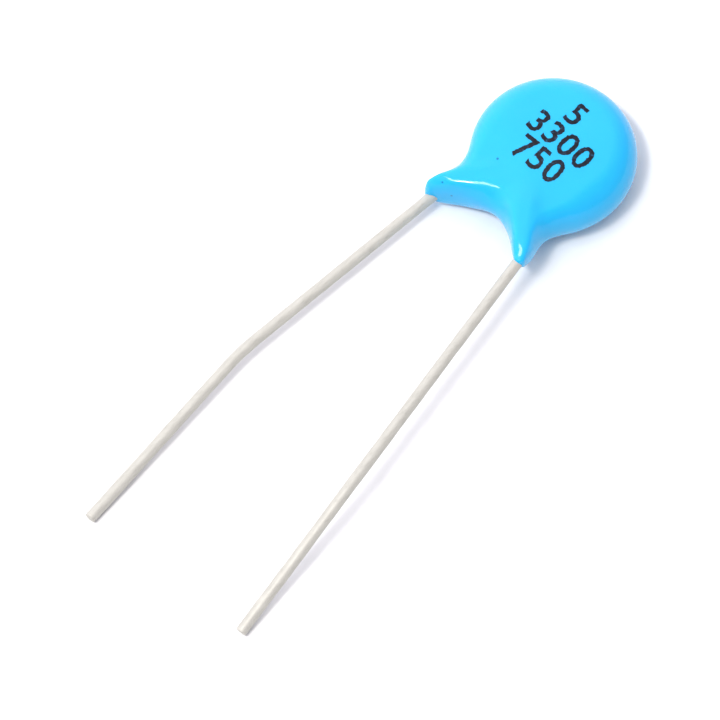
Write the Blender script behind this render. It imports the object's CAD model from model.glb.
# Ceramic disc capacitor lying flat on a pale floor: dipped blue body, stamped digits and two tinned wire leads.
from math import acos, asin, atan2, cos, exp, pi, radians, sin, sqrt, tan

import bmesh
import bpy
from mathutils import Matrix, Vector, noise


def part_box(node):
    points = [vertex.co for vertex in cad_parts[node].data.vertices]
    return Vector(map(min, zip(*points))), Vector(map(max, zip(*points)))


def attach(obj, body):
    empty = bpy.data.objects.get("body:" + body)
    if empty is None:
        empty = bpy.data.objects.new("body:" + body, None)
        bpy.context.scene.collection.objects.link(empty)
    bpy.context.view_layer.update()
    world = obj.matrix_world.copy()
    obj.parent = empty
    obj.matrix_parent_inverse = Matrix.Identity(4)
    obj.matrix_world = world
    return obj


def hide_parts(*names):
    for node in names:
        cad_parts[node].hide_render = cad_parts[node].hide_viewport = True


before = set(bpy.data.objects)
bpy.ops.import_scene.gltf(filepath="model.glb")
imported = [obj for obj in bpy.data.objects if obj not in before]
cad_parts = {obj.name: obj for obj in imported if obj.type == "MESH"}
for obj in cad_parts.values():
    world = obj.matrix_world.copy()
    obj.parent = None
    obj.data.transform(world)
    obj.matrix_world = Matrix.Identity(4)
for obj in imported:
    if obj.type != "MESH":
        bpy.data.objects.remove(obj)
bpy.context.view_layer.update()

# Lengths are in millimetres and are made metres where a mesh is made. Plan places are from the disc's centre.
MM = 0.001
RIGHT, LEFT = 1, -1

# Coating
COAT_R, COAT_T, COAT_RIM = 4.0, 3.3, 1.3  # radius, thickness, and width of the rounded rim
COAT_DOME, DOME_LEVEL = 0.25, 1.1  # the faces' fall to the rim, and the squared share of the radius where it ends

# Legs of the coating in plan
LEG_REACH, LEG_ROOT, LEG_ROOT_R = 5.5, (1.5, -3.35), 0.9  # how far down they reach, where they start and how wide
LEG_TIP, LEG_TIP_R = {RIGHT: (2.93, -5.46), LEFT: (-3.06, -5.2)}, 0.3
LEG_BULGE, BULGE_SKEW = {RIGHT: 0.1, LEFT: 0.0}, 1.8  # bulge of the right leg's outer edge, and how far down it lies
LEG_TAPER, LEG_BLEND, LEG_CROWN = 1.35, 1.3, 0.5  # bend of the taper, blend with the disc, softness of the edge
LEG = {side: (Vector((side * LEG_ROOT[0], LEG_ROOT[1])), Vector(LEG_TIP[side])) for side in (RIGHT, LEFT)}

# Skin of the coating towards the legs
FRONT_TOP, FRONT_RUN = 0.5, 2.2  # where the rim starts to tighten, and over what length
FRONT_RIM, LEG_RIM, LEG_TIP_RIM = 0.65, 0.42, 0.2  # its width at the front, on a leg and at a tip
LEG_FULLNESS, WEB_DROP = 0.8, 0.2  # how full a leg's shoulders are, and the depth of the web between the legs
RIDGE_IN, RIDGE_OUT, RIDGE_BACK = 0.95, 0.5, 0.9  # reach of a leg's ridge inwards, outwards and up the disc

# Height of the legs, with places along a leg as shares of its length
FAR_LEG = {1: (1.04, 0.5), -1: (0.6, 1.0)}  # the far leg's cover over its wire and its gain, on each face
NOSE_RUN = 0.42  # length of the far leg's round nose
CLOSE_COVER, CLOSE_RISE, CLOSE_RUN, CLOSE_SLOPE = 0.1, 0.62, 0.8, 0.3  # the close leg's cover, rise and slope
FACE_BLEND, FACE_LIFT = 0.3, 0.02  # blend of a leg with the face, and the height given back for it
MIDDLE_REACH = 1.4  # how far across the rim's middle swings from one wire's height to the other's

# Leads
WIRE_R, WIRE_AXIS, LEAD_SPACING = 0.275, 0.685, 5.8  # the wire, its height off the middle plane, and the spacing
LEAD_TAIL_IN, TURN_OUT_Y, EXIT_RUN = 0.9, 3.0, 0.4  # the soldered end, the turn into the leg, the turn out of it
LEG_WAY, BEND_R = (0.6, -0.8), 14.0
SPLAY = {RIGHT: 9.9, LEFT: 3.6}  # degrees out from straight down
RUN = {RIGHT: 14.0, LEFT: 12.1}
TURN = {RIGHT: 3.8, LEFT: 7.7}  # degrees back in, where the tail starts
TAIL = {RIGHT: 8.6, LEFT: 10.8}
WIRE_SEGMENTS, RUN_STEP, TURN_STEP = 24, 0.3, 0.15
CUT_BEVEL, TIN_SWELL, TIN_SWELL_SIZE = 0.05, 0.012, 0.9

# The disc's centre in the part's frame
coat_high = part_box("coating")[1]
DISC = Vector((coat_high.x / MM - COAT_R, coat_high.y / MM - COAT_R, COAT_T / 2))


def clamp(t, low=0.0, high=1.0):
    return min(max(t, low), high)


def ease(t):
    u = clamp(t)
    return u * u * (3 - 2 * u)


def soft_min(a, b, blend):
    near = max(blend - abs(a - b), 0) / blend
    return min(a, b) - near * near * blend / 4


def leg_gap(p, side):
    """Under 0 inside a leg's outline in plan, over 0 outside."""
    root, tip = LEG[side]
    axis = tip - root
    t = clamp((p - root).dot(axis) / axis.length_squared)
    away = p - root - t * axis
    outward = away.length * (1 if side * away.x >= 0 else -1)
    r = LEG_ROOT_R + t ** LEG_TAPER * (LEG_TIP_R - LEG_ROOT_R)
    r += LEG_BULGE[side] * sin(pi * t ** BULGE_SKEW) * ease(outward / r)
    return sqrt(outward ** 2 + (LEG_CROWN * r) ** 2) - r * sqrt(1 + LEG_CROWN ** 2)


def edge_gap(p):
    """Under 0 inside the coating's outline in plan, over 0 outside."""
    disc_and_right = soft_min(p.length - COAT_R, leg_gap(p, RIGHT), LEG_BLEND)
    return soft_min(disc_and_right, leg_gap(p, LEFT), LEG_BLEND)


def leg_ridge(p, side):
    """1 along the ridge of a leg, falling slowly to its inner edge and fast to its outer one."""
    root, tip = LEG[side]
    way = (tip - root).normalized()
    off = (p - root).dot(Vector((way.y, -way.x))) * side
    behind = max(-(p - root).dot(way), 0)
    across = (off / RIDGE_IN) ** 4 if off > 0 else (off / RIDGE_OUT) ** 2
    return exp(-across - (behind / RIDGE_BACK) ** 2)


def coat_crest(p, up):
    """How far a face of the coating stands from the middle plane, away from the rim.

    On each face one leg has its wire close under it and stays high. The other one slopes, then drops round its nose.
    """
    s = max((LEG_REACH + p.y) / (LEG_REACH + LEG_ROOT[1]), 0)
    nose = sqrt(1 - (1 - min(s / NOSE_RUN, 1)) ** 2)
    cover, gain = FAR_LEG[up]
    far = WIRE_R - WIRE_AXIS + (cover + gain * s) * nose
    close = WIRE_R + WIRE_AXIS + CLOSE_COVER + CLOSE_RISE * sin(pi / 2 * min(s / CLOSE_RUN, 1))
    close += CLOSE_SLOPE * max(s - CLOSE_RUN, 0)
    leg = far + (close - far) * ease(0.5 + up * p.x / (2 * LEG_ROOT[0]))
    out = p.length_squared / COAT_R ** 2
    face = COAT_T / 2 - COAT_DOME * out / (1 + (out / DOME_LEVEL) ** 4) ** 0.25
    return soft_min(face, leg, FACE_BLEND) + FACE_LIFT


def coat_skin(p, up):
    """A place on the coating's upper or lower face, from a place in plan."""
    front = ease((-FRONT_TOP - p.y) / FRONT_RUN)
    ridge = max(leg_ridge(p, RIGHT), leg_ridge(p, LEFT))
    brim = COAT_RIM + (FRONT_RIM - COAT_RIM) * front
    brim += (LEG_RIM - brim) * front * ridge
    down = clamp((LEG_ROOT[1] - p.y) / (LEG_REACH + LEG_ROOT[1]))
    rim = brim + (LEG_TIP_RIM - brim) * down ** 2
    depth = clamp(-edge_gap(p) / rim)
    middle = WIRE_AXIS * sin(pi / 2 * clamp(p.x / (MIDDLE_REACH * LEG_ROOT[0]), -1, 1)) * down ** 2
    crest = up * (coat_crest(p, up) - WEB_DROP * front * (1 - ridge))
    full = 2 + LEG_FULLNESS * front * ridge
    return Vector((p.x, p.y, middle + (crest - middle) * (1 - (1 - depth) ** full) ** (1 / full)))


# Materials
MIX_FACTOR, MIX_A, MIX_B, MIX_RESULT = 0, 6, 7, 2  # the Mix node's colour sockets, which share their names with others


def linear(code):
    """An sRGB hex colour as linear RGBA."""
    out = []
    for i in (0, 2, 4):
        c = int(code[i:i + 2], 16) / 255
        out.append(c / 12.92 if c <= 0.04045 else ((c + 0.055) / 1.055) ** 2.4)
    return (*out, 1.0)


def per_metre(size):
    """A pattern's scale, from the real size of its marks in millimetres."""
    return 1 / (size * MM)


def feed(node, inputs):
    """Sets a node's inputs, each to a constant or to another node's output."""
    for name, value in inputs.items():
        if isinstance(value, bpy.types.NodeSocket):
            node.id_data.links.new(value, node.inputs[name])
        else:
            node.inputs[name].default_value = value


def add(owner, kind, inputs=None, stops=(), **settings):
    """Adds a node to a material or world, with its settings, its inputs and its colour stops."""
    node = owner.node_tree.nodes.new(kind)
    for name, value in settings.items():
        setattr(node, name, value)
    feed(node, inputs or {})
    for i, (position, code) in enumerate(stops):
        elements = node.color_ramp.elements
        stop = elements[i] if i < 2 else elements.new(position)
        stop.position, stop.color = position, linear(code)
    return node


def material(name):
    """A bare material, its shader and its Object coordinates."""
    mat = bpy.data.materials.new(name)
    mat.use_nodes = True
    return mat, mat.node_tree.nodes["Principled BSDF"], add(mat, "ShaderNodeTexCoord").outputs["Object"]


def dipped_epoxy():
    """Dipped and cured epoxy: an even glossy sky blue, faintly cloudy and wavy, with a few dark specks caught in it."""
    mat, shader, place = material("dipped_blue_epoxy")
    cloud = add(mat, "ShaderNodeTexNoise", {"Vector": place, "Scale": per_metre(3.85), "Detail": 3.0})
    blue = add(mat, "ShaderNodeValToRGB", {"Fac": cloud.outputs["Fac"]}, [(0.3, "18ADE3"), (0.7, "1DB2E7")])
    speck = add(mat, "ShaderNodeTexVoronoi", {"Vector": place, "Scale": per_metre(1.613)})
    clear = add(mat, "ShaderNodeValToRGB", {"Fac": speck.outputs["Distance"]}, [(0.03, "A0AABC"), (0.05, "FFFFFF")])
    tint = add(
        mat, "ShaderNodeMix", {MIX_FACTOR: 1.0, MIX_A: blue.outputs["Color"], MIX_B: clear.outputs["Color"]},
        data_type="RGBA", blend_type="MULTIPLY"
    )
    wave = add(mat, "ShaderNodeTexNoise", {"Vector": place, "Scale": per_metre(2.38), "Detail": 1.0})
    skin = add(mat, "ShaderNodeBump", {"Height": wave.outputs["Fac"], "Strength": 0.08, "Distance": 0.08 * MM})
    feed(shader, {
        "Base Color": tint.outputs[MIX_RESULT], "Normal": skin.outputs["Normal"],
        "Roughness": 0.12, "IOR": 1.45, "Specular IOR Level": 0.46,
        "Subsurface Weight": 0.25, "Subsurface Radius": (0.3, 0.8, 1.0), "Subsurface Scale": 0.6 * MM,
    })
    return mat


def tinned_wire():
    """Hot-tinned copper wire: dull pale grey with soft streaks along it, and small lumps where the tin ran."""
    mat, shader, place = material("tinned_lead_wire")
    along = add(mat, "ShaderNodeMapping", {"Vector": place, "Scale": (1.0, 1 / 4, 1.0)})
    streak = add(
        mat, "ShaderNodeTexNoise",
        {"Vector": along.outputs["Vector"], "Scale": per_metre(0.2), "Detail": 6.0, "Roughness": 0.75}
    )
    grey = add(
        mat, "ShaderNodeValToRGB", {"Fac": streak.outputs["Fac"]}, [(0.3, "AEACA3"), (0.45, "BBB9B0"), (0.68, "C5C3BA")]
    )
    lumps = add(mat, "ShaderNodeTexNoise", {"Vector": place, "Scale": per_metre(0.455), "Detail": 2.0})
    skin = add(mat, "ShaderNodeBump", {"Height": lumps.outputs["Fac"], "Strength": 0.18, "Distance": 0.04 * MM})
    feed(shader, {
        "Base Color": grey.outputs["Color"], "Normal": skin.outputs["Normal"], "Metallic": 0.25, "Roughness": 0.55,
    })
    return mat


def stamped_ink():
    """Stamped ink: near black and matt, and thinner where the stamp pressed lightly, so that the blue shows through."""
    mat, shader, place = material("stamped_black_ink")
    blot = add(mat, "ShaderNodeTexNoise", {"Vector": place, "Scale": per_metre(0.192), "Detail": 2.0})
    black = add(
        mat, "ShaderNodeValToRGB", {"Fac": blot.outputs["Fac"]}, [(0.35, "05060B"), (0.6, "10182A"), (0.78, "1D5878")]
    )
    feed(shader, {"Base Color": black.outputs["Color"], "Roughness": 0.55, "Specular IOR Level": 0.25})
    return mat


def inner_finish(name, dark, light, grain_size, metallic, roughness):
    """A fine-grained surface inside the coating, in two close shades and with a slight tooth."""
    mat, shader, place = material(name)
    grain = add(mat, "ShaderNodeTexNoise", {"Vector": place, "Scale": per_metre(grain_size), "Detail": 4.0})
    shade = add(mat, "ShaderNodeValToRGB", {"Fac": grain.outputs["Fac"]}, [(0.3, dark), (0.7, light)])
    skin = add(mat, "ShaderNodeBump", {"Height": grain.outputs["Fac"], "Strength": 0.2, "Distance": 0.03 * MM})
    feed(shader, {
        "Base Color": shade.outputs["Color"], "Normal": skin.outputs["Normal"],
        "Metallic": metallic, "Roughness": roughness,
    })
    return mat


def white_sweep():
    """Matt white paper: almost even, with a faint fibre."""
    mat, shader, place = material("white_sweep")
    fibre = add(mat, "ShaderNodeTexNoise", {"Vector": place, "Scale": per_metre(1.11), "Detail": 2.0})
    white = add(mat, "ShaderNodeValToRGB", {"Fac": fibre.outputs["Fac"]}, [(0.3, "E6E6E6"), (0.7, "EAEAEA")])
    feed(shader, {"Base Color": white.outputs["Color"], "Roughness": 0.9})
    return mat


def piece(name, bm, mat):
    """A finished smooth mesh object at the origin, in metres."""
    bmesh.ops.recalc_face_normals(bm, faces=bm.faces)
    mesh = bpy.data.meshes.new(name)
    bm.to_mesh(mesh)
    bm.free()
    mesh.materials.append(mat)
    mesh.shade_smooth()
    obj = bpy.data.objects.new(name, mesh)
    bpy.context.scene.collection.objects.link(obj)
    return obj


# Dipped coating: a globe whose rings are drawn out to the coating's outline and step in square to it
SPOKES, RINGS, RIM_RINGS = 320, 112, 26
OUTLINE_TRIES, REACH_HALVINGS = 2400, 26
TIP_FROM, TIP_CROWDING = 4.2, 1.6  # where down the legs the spokes crowd together, and how much
ROOM_STEP, ROOM_SLOPE, ROOM_SHARE, ROOM_MOST = 0.05, 0.6, 0.72, 1.35
ROOM_WINDOW, SMOOTH_ROUNDS = 7, 60


def outline_place(angle):
    """The place on the coating's outline at an angle from straight down, in plan."""
    way = Vector((sin(angle), -cos(angle)))
    low, high = 0.0, 2 * COAT_R
    for _ in range(REACH_HALVINGS):
        mid = (low + high) / 2
        if edge_gap(way * mid) < 0:
            low = mid
        else:
            high = mid
    return way * low


def spoke_ends():
    """Places round the coating's outline, evenly apart and closer at the two leg tips."""
    ring = [outline_place(2 * pi * i / OUTLINE_TRIES) for i in range(OUTLINE_TRIES)]
    sums = [0.0]
    for here, there in zip(ring, ring[1:] + ring[:1]):
        sums.append(sums[-1] + (there - here).length * (1 + TIP_CROWDING * clamp(-here.y - TIP_FROM)))
    places, k = [], 0
    for j in range(SPOKES):
        want = sums[-1] * j / SPOKES
        while sums[k + 1] < want:
            k += 1
        share = (want - sums[k]) / (sums[k + 1] - sums[k])
        places.append(ring[k].lerp(ring[(k + 1) % OUTLINE_TRIES], share))
    return places


def inward(p, e=0.01):
    """The way straight in from the outline, in plan."""
    dx = edge_gap(p - Vector((e, 0))) - edge_gap(p + Vector((e, 0)))
    dy = edge_gap(p - Vector((0, e))) - edge_gap(p + Vector((0, e)))
    return Vector((dx, dy)).normalized()


def room_inward(p):
    """How far in a place can step before it nears the middle of a narrow leg."""
    went = 0.0
    while went < COAT_RIM * ROOM_MOST:
        ahead = p + inward(p) * ROOM_STEP
        if edge_gap(p) - edge_gap(ahead) < ROOM_SLOPE * ROOM_STEP:
            break
        p, went = ahead, went + ROOM_STEP
    return max(went, 2 * ROOM_STEP)


def round_about(values, j):
    """The values on the spokes round about one spoke."""
    return [values[(j + d) % SPOKES] for d in range(-ROOM_WINDOW, ROOM_WINDOW + 1)]


def spoke_lines():
    """Each spoke's places in plan: crowded steps over the rim, then even ones to the middle."""
    ends = spoke_ends()
    room = [ROOM_SHARE * room_inward(p) for p in ends]
    least = [min(round_about(room, j)) for j in range(SPOKES)]
    rest = RINGS // 2 - RIM_RINGS
    lines = []
    for j, p in enumerate(ends):
        near = round_about(least, j)
        far = sum(near) / len(near)
        line, went = [p], 0.0
        for k in range(1, RIM_RINGS + 1):
            goal = far * (1 - cos(pi / 2 * k / RIM_RINGS))
            p = p + inward(p) * (goal - went)
            went = goal
            line.append(p)
        lines.append(line + [p * (1 - k / rest) for k in range(1, rest + 1)])
    return lines


def dipped_coating():
    lines = spoke_lines()
    bm = bmesh.new()
    bmesh.ops.create_uvsphere(bm, u_segments=SPOKES, v_segments=RINGS, radius=1.0)
    face, inner = {}, []
    for v in bm.verts:
        step = round(abs(asin(clamp(v.co.z, -1, 1))) / (pi / 2) * RINGS / 2)
        spoke = round(atan2(v.co.x, -v.co.y) / (2 * pi) * SPOKES) % SPOKES
        face[v] = 1 if v.co.z >= 0 else -1
        if step > RIM_RINGS:
            inner.append(v)
        v.co.xy = lines[spoke][step]
        v.co.z = 0
    for _ in range(SMOOTH_ROUNDS):
        bmesh.ops.smooth_vert(bm, verts=inner, factor=0.5, use_axis_x=True, use_axis_y=True, use_axis_z=False)
    for v in bm.verts:
        v.co = (coat_skin(v.co.xy, face[v]) + DISC) * MM
    return piece("dipped_coating", bm, dipped_epoxy())


# Leads: a circle of wire drawn along its runs and spun round its turns
def lead_route(side):
    """A lead's corners from its soldered end to its tip, on the wire's axis."""
    z = COAT_T / 2 + side * WIRE_AXIS
    fall = asin(z / sqrt(TAIL[side] ** 2 + WIRE_R ** 2)) - atan2(WIRE_R, TAIL[side])
    splay, tail_splay = radians(SPLAY[side]), radians(SPLAY[side] - TURN[side])
    seat_way = Vector((0, -1, 0))
    leg_way = Vector((side * LEG_WAY[0], LEG_WAY[1], 0))
    run_way = Vector((side * sin(splay), -cos(splay), 0))
    tail_way = Vector((side * sin(tail_splay) * cos(fall), -cos(tail_splay) * cos(fall), -sin(fall)))
    leave = Vector((DISC.x + side * LEAD_SPACING / 2, DISC.y - LEG_REACH, z))
    back = leave - EXIT_RUN * run_way
    out = back - (TURN_OUT_Y + back.y - DISC.y) / leg_way.y * leg_way
    start = out - (LEAD_TAIL_IN + TURN_OUT_Y) * seat_way
    corner = leave + RUN[side] * run_way
    return [start, out, back, corner, corner + TAIL[side] * tail_way]


def draw_wire(bm, edges, vec):
    """Draws a ring of wire straight on by a vector in metres, in even steps, and returns the ring at its end."""
    count = max(round(vec.length / (RUN_STEP * MM)), 1)
    for _ in range(count):
        grown = bmesh.ops.extrude_edge_only(bm, edges=edges)["geom"]
        verts = [g for g in grown if isinstance(g, bmesh.types.BMVert)]
        bmesh.ops.translate(bm, verts=verts, vec=vec / count)
        edges = [g for g in grown if isinstance(g, bmesh.types.BMEdge) and all(v in grown for v in g.verts)]
    return edges


def lead_wire(side, name, mat):
    route = lead_route(side)
    radii = [None, 2 * WIRE_R, 2 * WIRE_R, BEND_R, None]
    bm = bmesh.new()
    facing = (route[1] - route[0]).to_track_quat("Z", "Y").to_matrix().to_4x4()
    ring = bmesh.ops.create_circle(
        bm, segments=WIRE_SEGMENTS, radius=WIRE_R * MM, cap_ends=True,
        matrix=Matrix.Translation(route[0] * MM) @ facing
    )
    edges = list({e for v in ring["verts"] for e in v.link_edges})
    here = route[0]
    for i in range(1, len(route)):
        corner, radius = route[i], radii[i]
        if not radius:
            edges = draw_wire(bm, edges, (corner - here) * MM)
            continue
        way = (corner - route[i - 1]).normalized()
        ahead = (route[i + 1] - corner).normalized()
        turn = acos(clamp(way.dot(ahead), -1, 1))
        cut_back = radius * tan(turn / 2)
        stop = corner - way * cut_back
        edges = draw_wire(bm, edges, (stop - here) * MM)
        sideways = (ahead - way * way.dot(ahead)).normalized()
        spun = bmesh.ops.spin(
            bm, geom=edges, cent=(stop + sideways * radius) * MM, axis=way.cross(sideways), dvec=(0, 0, 0),
            angle=turn, steps=max(round(turn * radius / TURN_STEP), 6), use_duplicate=False
        )["geom_last"]
        edges = [g for g in spun if isinstance(g, bmesh.types.BMEdge)]
        here = corner + ahead * cut_back
    # The cut ends: small bevelled faces
    bmesh.ops.contextual_create(bm, geom=edges)
    bmesh.ops.remove_doubles(bm, verts=bm.verts, dist=1e-7)
    rim = [e for f in bm.faces if len(f.verts) > 4 for e in f.edges]
    bmesh.ops.bevel(
        bm, geom=rim, offset=CUT_BEVEL * MM, affect="EDGES", segments=3, profile=0.5, material=-1, clamp_overlap=True
    )
    # Uneven tin: the surface swells and thins by about a hundredth of a millimetre
    bm.normal_update()
    own_place = Vector((7.0 * side, 0, 0))
    for v in bm.verts:
        v.co += v.normal * TIN_SWELL * MM * noise.noise(v.co / (TIN_SWELL_SIZE * MM) + own_place)
    return piece(name, bm, mat)


# Stamped digits: flat text cut fine and laid onto the upper face as a thin closed film
ROWS = (("5", (-0.15, 1.63)), ("3300", (0.22, 0.15)), ("750", (0.16, -1.30)))
DIGIT_H, DIGIT_SPACING, STROKE_GAIN = 1.74, 1.08, 0.026
INK_LIFT, INK_SINK = 0.006, 0.02
INK_MESH, INK_ROUNDS = 0.06, 4  # longest edge wanted in the film, and the most rounds of cutting
INK_RAG, INK_RAG_SIZE = 0.045, 0.12  # how ragged its edges are
INK_CREASE = 50  # degrees


def digit_row(body):
    """A row of digits as a flat mesh."""
    curve = bpy.data.curves.new("digits", "FONT")
    curve.body = body
    curve.align_x, curve.align_y = "CENTER", "CENTER"
    curve.size = DIGIT_H
    curve.offset = STROKE_GAIN
    curve.space_character = DIGIT_SPACING
    curve.resolution_u = 6
    text = bpy.data.objects.new("digits", curve)
    bpy.context.scene.collection.objects.link(text)
    bpy.context.view_layer.update()
    flat = bpy.data.meshes.new_from_object(text.evaluated_get(bpy.context.evaluated_depsgraph_get()))
    bpy.data.objects.remove(text)
    bpy.data.curves.remove(curve)
    return flat


def stamped_digits(mat):
    bm = bmesh.new()
    for body, (x, y) in ROWS:
        flat = digit_row(body)
        flat.transform(Matrix.Translation((x, y, 0)))
        bm.from_mesh(flat)
        bpy.data.meshes.remove(flat)
    bmesh.ops.remove_doubles(bm, verts=bm.verts, dist=1e-4)
    bmesh.ops.triangulate(bm, faces=bm.faces)
    for _ in range(INK_ROUNDS):
        long = [e for e in bm.edges if e.calc_length() > INK_MESH]
        if not long:
            break
        bmesh.ops.subdivide_edges(bm, edges=long, cuts=1)
        bmesh.ops.triangulate(bm, faces=bm.faces)
    bmesh.ops.recalc_face_normals(bm, faces=bm.faces)
    bmesh.ops.solidify(bm, geom=bm.faces[:], thickness=INK_LIFT + INK_SINK)
    middle = sum(v.co.z for v in bm.verts) / len(bm.verts)
    for v in bm.verts:
        lift = INK_LIFT if v.co.z > middle else -INK_SINK
        p = v.co.xy
        q = Vector((p.x, p.y, 0)) / INK_RAG_SIZE
        p += Vector((noise.noise(q), noise.noise(q + Vector((9, 4, 2))))) * INK_RAG
        v.co = (coat_skin(p, 1) + DISC + Vector((0, 0, lift))) * MM
    for e in bm.edges:
        e.smooth = e.calc_face_angle(0) < radians(INK_CREASE)
    return piece("stamped_digits", bm, mat)


tin = tinned_wire()
coating = dipped_coating()
right_wire = lead_wire(RIGHT, "right_tinned_wire", tin)
left_wire = lead_wire(LEFT, "left_tinned_wire", tin)
digits = stamped_digits(stamped_ink())

for obj, slot in ((coating, "epoxy"), (right_wire, "tinned_wire"), (left_wire, "tinned_wire"), (digits, "ink")):
    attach(obj, "root")
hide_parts("coating")
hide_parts("right_lead")
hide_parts("left_lead")

# Inside: buff matt ceramic, soft white fired silver and dull grey solder
ceramic = inner_finish("fired_titanate_ceramic", "A98B66", "C4A67F", 0.385, 0.0, 0.7)
silver = inner_finish("fired_silver_film", "BDBBB4", "D8D6CF", 0.238, 0.9, 0.5)
solder = inner_finish("dull_solder", "8E8F8E", "B4B5B3", 0.333, 0.9, 0.38)
for node, mat in (
    ("ceramic_disc", ceramic), ("upper_electrode", silver), ("lower_electrode", silver),
    ("upper_solder_joint", solder), ("lower_solder_joint", solder),
):
    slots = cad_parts[node].data.materials
    slots.clear()
    slots.append(mat)

# Floor
bm = bmesh.new()
bmesh.ops.create_grid(bm, x_segments=2, y_segments=2, size=0.6)
floor = piece("floor", bm, white_sweep())

# Camera: the photograph's viewing angle and frame
AZIMUTH, ELEVATION, DISTANCE = radians(43.95), radians(63.5), 0.3
IMAGE_PX, FOCAL_PX, SENSOR_WIDTH = 720, 6375.0, 36.0
AIM = Vector((DISC.x + 0.34, DISC.y - 13.60, 0)) * MM
backward = Vector((sin(AZIMUTH) * cos(ELEVATION), -cos(AZIMUTH) * cos(ELEVATION), sin(ELEVATION)))
camera_data = bpy.data.cameras.new("camera")
camera_data.sensor_fit = "HORIZONTAL"
camera_data.sensor_width = SENSOR_WIDTH
camera_data.lens = SENSOR_WIDTH * FOCAL_PX / IMAGE_PX
camera_data.clip_start, camera_data.clip_end = 0.01, 10
camera = bpy.data.objects.new("camera", camera_data)
camera.location = AIM + backward * DISTANCE
camera.rotation_euler = backward.to_track_quat("Z", "Y").to_euler()
bpy.context.scene.collection.objects.link(camera)
bpy.context.scene.camera = camera


# Light: a long high softbox with a small lamp in it, and a pale surround that is brighter at the far left
def heading(azimuth, elevation):
    """A way up from the disc, at an azimuth in degrees from the camera's right, counter-clockwise in plan."""
    a, e = radians(azimuth) + AZIMUTH, radians(elevation)
    return Vector((cos(a) * cos(e), sin(a) * cos(e), sin(e)))


def softbox(name, way, distance, size, power):
    """A slightly warm area light aimed at the disc. Lengths are in metres."""
    data = bpy.data.lights.new(name, "AREA")
    data.shape = "RECTANGLE"
    data.size, data.size_y = size
    data.energy = power
    data.color = linear("FFFDF9")[:3]
    lamp = bpy.data.objects.new(name, data)
    lamp.location = Vector((DISC.x, DISC.y, 0)) * MM + way * distance
    lamp.rotation_euler = way.to_track_quat("Z", "Y").to_euler()
    bpy.context.scene.collection.objects.link(lamp)


softbox("key_softbox", heading(216, 66), 0.6, (0.34, 0.085), 1.4)
softbox("key_lamp", heading(222, 66), 0.58, (0.09, 0.07), 1.2)
world = bpy.data.worlds.new("pale_surround")
world.use_nodes = True
sky = add(world, "ShaderNodeTexCoord").outputs["Generated"]
toward_glow = add(world, "ShaderNodeVectorMath", {0: sky, 1: heading(125, 20)}, operation="DOT_PRODUCT")
glow = add(
    world, "ShaderNodeMapRange",
    {"Value": toward_glow.outputs["Value"], "From Min": -0.3, "From Max": 1.0, "To Min": 0.63, "To Max": 1.65},
    interpolation_type="SMOOTHSTEP"
)
feed(world.node_tree.nodes["Background"], {"Color": linear("F3F1FA"), "Strength": glow.outputs["Result"]})
bpy.context.scene.world = world
bpy.context.scene.view_settings.view_transform = "Standard"
